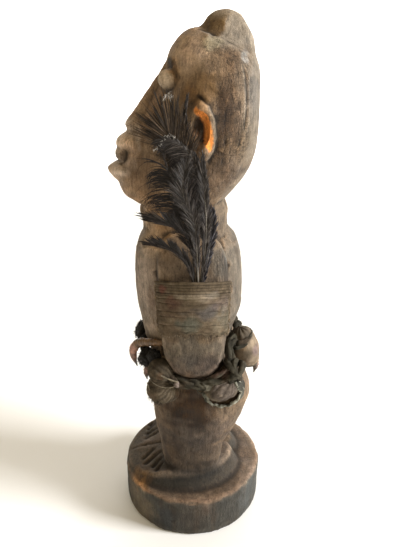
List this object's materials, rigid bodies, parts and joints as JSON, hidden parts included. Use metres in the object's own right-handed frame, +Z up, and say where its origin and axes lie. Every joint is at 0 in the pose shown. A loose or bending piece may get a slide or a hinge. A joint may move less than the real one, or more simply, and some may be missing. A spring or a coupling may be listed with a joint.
{
  "type": "power figure",
  "caption": "Carved wooden standing figure on a round base, with a raised head, a cloth armband that holds cock feathers, and a rope belt hung with bundles and claws.",
  "frame": {"origin": "centre of the underside of the round base", "axes": "+Z up, the figure looks along -Y and its left side is +X"},
  "size_m": [0.1248, 0.125, 0.4305],
  "materials": {
    "carved_wood": "old hand-carved wood, grey-brown and dusty, darker in the cuts",
    "band_cloth": "worn, dirty woven cloth with faded bands",
    "feather": "black-brown cock feather with a slight blue sheen",
    "belt_cloth": "twisted grey-green cloth, stiff with dirt",
    "bundle_cloth": "folded olive-grey cloth, stiff with dirt",
    "pouch_cloth": "purple-grey cloth, stiff with dirt",
    "bundle_skin": "dry skin drawn tight over a bundle",
    "dark_claw": "dark horn, satin",
    "talon": "dry brown talon with a pink claw and a dark tip",
    "black_tuft": "matted black hair and resin"
  },
  "bodies": {
    "root": {"carved_figure": "carved_wood", "cloth_armband": "band_cloth", "feather_1": "feather", "feather_2": "feather", "feather_3": "feather", "feather_4": "feather", "feather_5": "feather", "feather_6": "feather", "feather_7": "feather", "feather_8": "feather", "feather_9": "feather", "belt_rope": "belt_cloth", "bundle_back": "bundle_skin", "claw_back": "dark_claw", "bundle_front_left": "bundle_cloth", "pouch_left": "pouch_cloth", "pouch_wrapper": "bundle_cloth", "claw_front": "talon", "tuft_front": "black_tuft", "claw_small": "dark_claw", "tuft_right": "black_tuft"}
  },
  "joints": []
}
